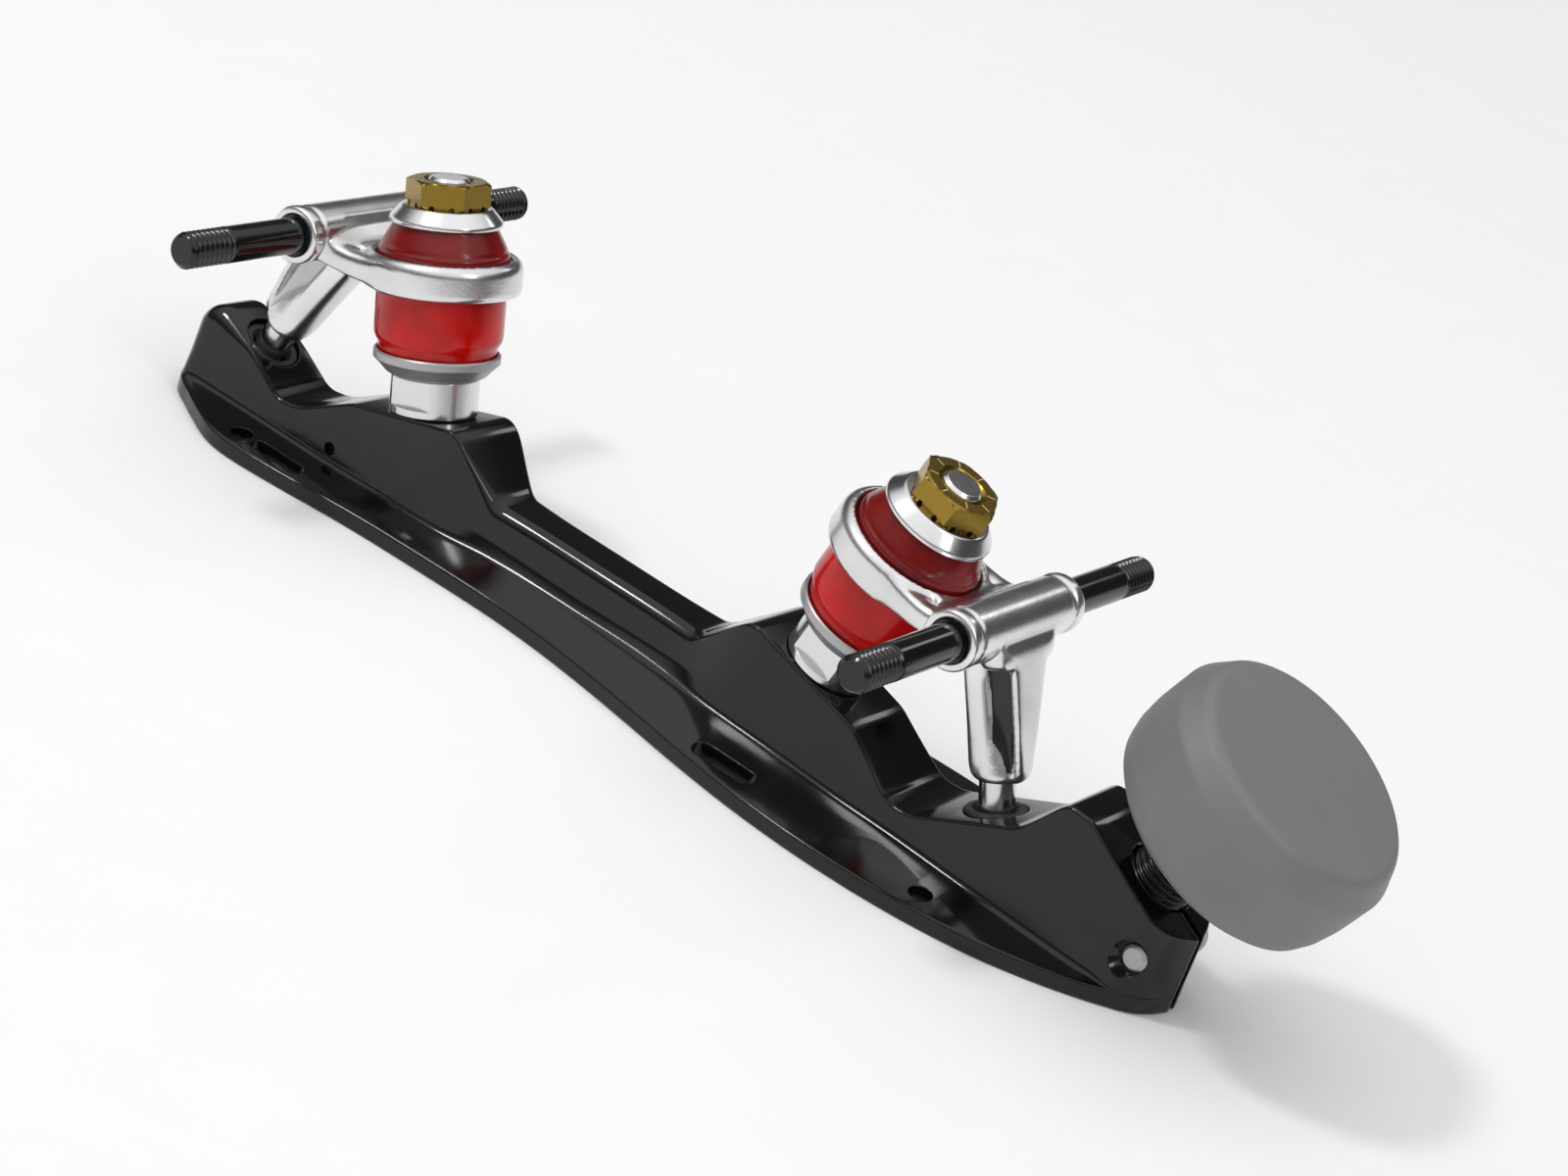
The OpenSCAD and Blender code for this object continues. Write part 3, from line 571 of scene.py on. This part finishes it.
def make_plate():
    verts, xs = [], stations()
    for x in xs:
        half = half_section(x)
        verts += [(x * MM, -y * MM, z * MM) for y, z in half]
        verts += [(x * MM, y * MM, z * MM) for y, z in reversed(half)]
    plate = solid("plate_body", verts, skin(len(xs), 2 * len(half), flip=True))

    both = (-1, 1)
    under, over = -1, 10                # heights that clear the flange
    hole = [(HOLE_R, under), (HOLE_R, over)]
    holes = [slot(x, s * y, length, width, under, over)
             for x, y, length, width in FLANGE_SLOTS for s in both]
    holes += [turned(move(x, s * y, 0), hole, 40) for x, y in FLANGE_HOLES for s in both]
    holes += [slot(s * x, 0, length - width, width, under, top)
              for x, length, width, top in HOLLOWS for s in both]
    holes.append(turned(move(*PIT) @ turn(-90, "X"), PIT_BORE, 32))
    for side in ("front", "rear"):
        holes.append(turned(on_kingpin(side), KINGPIN_BORE, 48))
        holes.append(turned(on_leg(side), PIVOT_BORE))
    cut(plate, holes)
    cut(plate, [turned(ON_TOE, STEM_BORE, 80)])
    cut(plate, [block(ON_TOE, *CLAMP_SLIT)])
    cut(plate, [turned(on_screw(), SCREW_BORE)])
    dress(plate, black_plate, "plate", "plate", slot="black_anodised", sharp=32)


# Hanger

# the leg's parts, for bar(): (z, x from, x to, half width)
LEG_RIB = [(-3, -6.9, 0, 4.6), (-10, -6.4, -0.7, 4.5), (-18.5, -5.5, 0.2, 4.3), (-26, -4.9, 1, 4.1),
           (-27.8, -4.5, 1.1, 3.9), (-28.6, -3.8, 1, 3.4), (-29, -2.6, 0.8, 2.4)]
LEG_FLANGE = [(-3, 3.4, 6, 9), (-4.8, 3.8, 6.2, 8.2), (-6.4, 4.1, 6.2, 6.3), (-8.4, 4.2, 6.2, 5.4),
              (-18.5, 4.3, 6.2, 3.8), (-27, 4.1, 6, 2.4), (-28.4, 3.9, 5.4, 1.9),
              (-29, 3.4, 4.4, 1.2)]
LEG_WEB = [(-3, -2, 5, 2.5), (-28.2, -2, 5, 2.1), (-29, -1.5, 4, 1.6)]
LEG_FOOT = [(z, -w, w, w) for z, w in ((-14, 1.8), (-20, 3.2), (-25, 4.3), (-27.9, 4.7),
                                       (-28.7, 4.4), (-29, 3.9))]
# from the ring to the tube, for limb(): (x, y, half width, bottom, top)
SIDE_ARM = [(0, 14.2, 0.8, 14.1, 19.2), (4, 13.9, 1, 14.1, 19.2), (8, 13, 1.5, 14.1, 19.3),
            (12, 12.25, 2.5, 14.6, 19.8), (14.5, 12.9, 2, 15.3, 20.4), (17, 13.3, 2.1, 16, 22.2),
            (21.6, 13.9, 2.4, 17.6, 25)]
RING_WEB = [(12.9, 0, 14, 14.6, 19.8), (14.2, 0, 14.6, 15, 20.7), (16, 0, 15.2, 15.6, 22.8),
            (19, 0, 15.9, 16.5, 25.8), (21.6, 0, 16.2, 17.6, 26)]
# what goes of the CAD solid: its leg, the wall beside the upper cushion, all above the web
OLD_LEG = (-7.4, -14, -45), (12, 14, -7)
CUSHION_ROOM = [(13.1, 17.9), (13.1, 19.7), (15.2, 21.8), (15.2, 26)]
ABOVE_WEB = [(x, 0, 40, z, 34) for x, z in ((-17, 20.25), (13.6, 20.25), (15, 21), (16, 22.5),
                                            (17.3, 25.35), (19.4, 27))]


def make_hanger(side):
    at_ring, at_leg = on_kingpin(side), on_leg(side)
    into_ring, into_leg = at_ring.inverted(), at_leg.inverted()
    cuts = [[block(at_leg, *OLD_LEG), turned(at_ring, CUSHION_ROOM, 96)],
            [limb(at_ring, ABOVE_WEB)]]
    bodies = [bar(at_leg, LEG_RIB, 3.2), bar(at_leg, LEG_FLANGE, 4.5), bar(at_leg, LEG_WEB, 4),
              bar(at_leg, LEG_FOOT, 2)]
    for s in (-1, 1):
        bodies.append(limb(at_ring, [(x, s * y, w, z0, z1) for x, y, w, z0, z1 in SIDE_ARM]))
    bodies.append(limb(at_ring, RING_WEB))
    hanger = merged(side + "_hanger_cast", side + "_hanger", cuts, bodies, 0.28)

    def everywhere(v):
        return True

    def on_web(v):
        """Outside the ring, and clear of the tube and the leg."""
        q, p = into_ring @ v / MM, into_leg @ v / MM
        return q.x > 5 and math.hypot(q.x, q.y) > 14 and math.hypot(p.x, p.z) > 5.8 and p.z > -8

    def in_leg(v):
        """Under the tube."""
        p = into_leg @ v / MM
        return p.z < -5.4 and p.x > -8.5 and math.hypot(p.x, p.z) > 5.6

    def in_flute(v):
        """Between the leg's rib and its flange, on either side."""
        p = into_leg @ v / MM
        down = (-10 - p.z) / 16
        return (-26.8 < p.z < -7.6 and -0.9 + 1.9 * down < p.x < 4.25
                and abs(p.y) < 4.6 - 1.6 * down)

    softened(hanger, [(4, everywhere), (26, on_web), (12, in_leg)], 0.5)
    dress(hanger, chrome, side + "_truck", side + "_hanger", slot="polished_aluminium", sharp=60)
    flutes = [f for f in hanger.data.polygons if in_flute(f.center)]
    # painted shade in the flutes: near black on the front hanger, grey on the rear one
    paint(hanger, dark_painted_shade if side == "front" else light_painted_shade, flutes)


# Axle, cushions, cup and nut: profiles of (radius, height along the piece)

# heights along the kingpin: the lower cushion's foot, the ring's faces, the top cup's faces
SEAT, RING_LOW, RING_TOP, CUP_LOW, CUP_TOP = -1.9, 14.55, 18.7, 27.55, 29.4
BORE, CUP_BORE = 4.3, 4.05              # radius round the kingpin: of a cushion, of the top cup
LOW_R, UP_R, CUP_R = 12.6, 12.7, 11.0   # radius: of the lower and upper cushion, of the top cup
LOWER = [(BORE, SEAT), (LOW_R - 2.7, SEAT), (LOW_R - 1.15, 1.1), (LOW_R - 0.9, 2.6),
         (LOW_R - 0.35, 3.4), (LOW_R - 0.05, 4.3), (LOW_R, 6), (LOW_R, 12.5), (LOW_R - 0.1, 13.8),
         (LOW_R - 0.4, RING_LOW), (BORE, RING_LOW)]
UPPER = [(BORE, RING_TOP), (UP_R - 0.3, RING_TOP), (UP_R, 19), (UP_R, 20.8), (UP_R - 0.5, 21.4),
         (UP_R - 0.7, 22.1), (CUP_R - 0.9, 25.6), (CUP_R - 1.4, 27.2), (CUP_R - 1.8, CUP_LOW),
         (BORE, CUP_LOW)]
TOP_CUP = [(CUP_BORE, CUP_LOW), (9.7, CUP_LOW), (10.35, 26.05), (10.85, 26.05), (CUP_R, 26.25),
           (CUP_R, 26.75), (10.85, 27.05), (8.95, 29.15), (8.6, CUP_TOP), (CUP_BORE, CUP_TOP)]


def make_axle(side):
    at = on_axle(side)
    into = at.inverted()
    r, half = 3.5, 50
    mid_r, shoulder = 3.9, 19.6         # the part inside the hanger
    grip, chamfer = 13, 0.8             # how far in the ends are turned finely, and their edge
    end = [(r - 0.9, half), (r, half - chamfer), (r, half - grip), (r, shoulder), (mid_r, shoulder)]
    profile = [(0, -half)] + [(x, -h) for x, h in end] + list(reversed(end)) + [(0, half)]
    start, length = 0.3, 11.5           # thread, from each end
    zones = [(-half + start, -half + length), (half - length, half - start)]
    fine, shape = threaded(profile, zones, 1.3, 0.6)
    axle = lathe(side + "_axle_threaded", fine, at, 64, shape)
    dress(axle, oxide, side + "_truck", side + "_axle", slot="black_steel", sharp=30)

    # the crests near the ends take the painted highlight
    def on_crest(v):
        p = into @ v / MM
        return 39 < abs(p.z) < half - 0.75 and math.hypot(p.x, p.y) > r - 0.14

    paint(axle, painted_crest_highlight, [f for f in axle.data.polygons if on_crest(f.center)])


def make_cushion(side, which, profile, mat, slot_name):
    """A padded ring on the kingpin between two heights, turned from its profile; it is attached to
    no body.
    """
    at, node = on_kingpin(side), f"{side}_{which}_cushion"
    cushion = lathe(node + "_soft", rounded(profile, 0.4), at)
    dress(cushion, mat, None, node, slot=slot_name)
    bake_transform(cushion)


def make_top_cup(side):
    cup = lathe(side + "_top_cup_turned", rounded(TOP_CUP, 0.15), on_kingpin(side))
    dress(cup, steel, "plate", side + "_top_cup", slot="steel", sharp=50)


def make_nut(side):
    at = on_kingpin(side)
    flat = 7.15                                     # from the axis to a flat
    across = flat / math.cos(math.pi / 6)           # and to a corner
    foot, top = CUP_TOP, 34.4
    first = 30 if side == "rear" else 0             # where the first corner points

    def hexagon(r, h, a):
        turned_to = (a - math.radians(first)) % (math.pi / 3) - math.pi / 6
        return min(r, flat / math.cos(turned_to))

    profile = [(4.06, foot), (across - 0.7, foot), (across, foot + 0.4), (across, top - 0.5),
               (across - 0.5, top - 0.2), (across - 1.12, top), (4.95, top), (4.06, top - 0.9)]
    nut = lathe(side + "_nut_hex", profile, at, shape=hexagon)
    notch = [(0.55, 5.6), (0.55, 9)]                # (radius, distance from the axis)
    around = [at @ move(0, 0, foot + 0.22) @ turn(15 + 30 * i, "Z") @ turn(90, "Y")
              for i in range(12)]
    cut(nut, [turned(place, notch, 16) for place in around])
    line = (5.05, -0.1, top - 0.1), (6.85, 0.1, top + 0.04)     # two corners of a scribed line
    plain = len(nut.data.polygons)
    append_mesh(nut, *joined(*[block(at @ turn(first + 45 * i, "Z"), *line) for i in range(8)]))
    dress(nut, gold, side + "_nut", side + "_kingpin_nut", slot="gold_nut", sharp=8)
    paint(nut, bright_gold, nut.data.polygons[plain:])


# Toe stop
def make_toe_stop():
    r, back, seat, face = 25.0, 12.8, 26.8, 35.8    # pad: radius, back, stem's end, face
    profile = [(0, seat), (6.38, seat), (6.38, back), (r - 6, back), (r - 3.6, back + 0.9),
               (r - 1.5, back + 2.8), (r - 0.5, back + 6), (r - 0.05, back + 10), (r, seat),
               (r, face - 5.4), (r - 0.35, face - 4.6), (r - 0.75, face - 3.9), (r - 2.3, face - 1),
               (r - 3.3, face - 0.15), (r - 4.2, face), (0, face)]
    pad = lathe("toe_stop_pad_moulded", rounded(profile, 0.4, 4), ON_TOE, 160)
    dress(pad, rubber, "toe_stop", "toe_stop_pad", slot="grey_rubber")
    profile = [(0, -18.6), (5.55, -18.6), (6.35, -17.8), (6.35, seat), (0, seat)]
    fine, shape = threaded(profile, [(-18.4, seat)], 1.27, 0.55)
    stem = lathe("toe_stop_stem_threaded", fine, ON_TOE, 72, shape)
    dress(stem, dark_steel, "toe_stop", "toe_stop_stem", slot="steel", sharp=50)


make_plate()
for side in ("front", "rear"):
    make_hanger(side)
    make_axle(side)
    make_cushion(side, "lower", LOWER, red, "red_cushion")
    make_top_cup(side)
    make_nut(side)
    make_cushion(side, "upper", UPPER, dark_red, "dark_red_cushion")
make_toe_stop()

# the CAD pieces that show as they are
looks = {"kingpin": steel, "lower_cup": dull_steel, "pivot_pin": steel, "pivot_cup": cup_black,
         "toe_clamp_screw": dull_steel}
for name, ob in nodes.items():
    key = name.split("_", 1)[1] if name.startswith(("front_", "rear_")) else name
    if key in looks:
        ob.data.materials.clear()
        ob.data.materials.append(looks[key])

# Floor
FLOOR, UNDER = 12.0, -0.0003            # metres: half its side, its height just under the part
corners = [(x * FLOOR, y * FLOOR, UNDER) for x, y in ((-1, -1), (1, -1), (1, 1), (-1, 1))]
floor = new_object("floor", corners, [(0, 1, 2, 3)])
floor.data.materials.append(pale)

# World: bright below and above, with a dark band between
world = bpy.data.worlds.new("studio")
bpy.context.scene.world = world
world.use_nodes = True
sky = world.node_tree
sky.nodes.clear()


def sky_node(kind, **inputs):
    n = sky.nodes.new(kind)
    for key, value in inputs.items():
        n.inputs[key.replace("_", " ")].default_value = value
    return n


def ramp(rows, value):
    """Grey levels at the places that the rows of (place, level) give."""
    n = sky.nodes.new("ShaderNodeValToRGB")
    stops = n.color_ramp.elements
    for stop, (place, level) in zip((stops[0], stops[1]), (rows[0], rows[-1])):
        stop.position, stop.color = place, (level, level, level, 1)
    for place, level in rows[1:-1]:
        stops.new(place).color = (level, level, level, 1)
    sky.links.new(value, n.inputs["Fac"])
    return n.outputs["Color"]


coord = sky_node("ShaderNodeTexCoord")
split = sky_node("ShaderNodeSeparateXYZ")
sky.links.new(coord.outputs["Generated"], split.inputs["Vector"])
up = sky_node("ShaderNodeMapRange", From_Min=-1, From_Max=1)
sky.links.new(split.outputs["Z"], up.inputs["Value"])
back = ramp([(0, 0.9), (0.42, 0.9), (0.5, 0.88), (0.53, 0.14), (0.57, 0.07), (0.78, 0.07),
             (0.84, 0.8), (1, 1.2)], up.outputs["Result"])
front = ramp([(0, 0.9), (0.3, 0.9), (0.47, 0.9), (0.52, 0.5), (0.58, 0.12), (0.68, 0.25),
              (0.8, 0.95), (1, 1.2)], up.outputs["Result"])
sweep = sky_node("ShaderNodeMapRange", From_Min=-0.35, From_Max=0.35)
sweep.interpolation_type = "SMOOTHSTEP"
sky.links.new(split.outputs["Y"], sweep.inputs["Value"])
both = sky.nodes.new("ShaderNodeMix")
both.data_type = "RGBA"
sky.links.new(sweep.outputs["Result"], both.inputs["Factor"])
sky.links.new(front, both.inputs["A"])
sky.links.new(back, both.inputs["B"])
room = sky_node("ShaderNodeBackground", Strength=0.99)
sky.links.new(both.outputs["Result"], room.inputs["Color"])
out = sky_node("ShaderNodeOutputWorld")
sky.links.new(room.outputs["Background"], out.inputs["Surface"])


# Lamps: metres and watts
def lamp(name, at, aim, size, power):
    data = bpy.data.lights.new(name, "AREA")
    data.shape, data.size, data.size_y, data.energy = "RECTANGLE", size[0], size[1], power
    ob = bpy.data.objects.new(name, data)
    bpy.context.collection.objects.link(ob)
    ob.location = at
    ob.rotation_euler = (Vector(aim) - Vector(at)).to_track_quat("-Z", "Y").to_euler()


lamp("key", (-0.95, -0.84, 1.87), (0, 0, 0.02), (0.3, 0.3), 13)
lamp("side", (1.6, -0.3, 1.5), (0, 0, 0.02), (0.3, 1.0), 5)
lamp("back", (0.25, 2.25, 1.62), (0, 0, 0.03), (0.4, 0.3), 1.2)

# Camera: the photograph's place, direction and lens
PHOTO_WIDTH, FOCAL = 1600, 3777.4       # pixels
cam = bpy.data.objects.new("camera", bpy.data.cameras.new("camera"))
bpy.context.collection.objects.link(cam)
right = Vector((0.76711143, 0.55795261, 0.31658955))
down = Vector((0.48079573, -0.17332127, -0.85953197))
ahead = Vector((-0.4247064, 0.8115717, -0.40121796))
facing = Matrix((right, -down, -ahead)).transposed().to_4x4()
cam.matrix_world = Matrix.Translation((0.32396, -0.55064, 0.30203)) @ facing
cam.data.sensor_width = 36
cam.data.lens = FOCAL / PHOTO_WIDTH * cam.data.sensor_width
cam.data.clip_start = 0.01
bpy.context.scene.camera = cam
bpy.context.scene.view_settings.view_transform = "Standard"
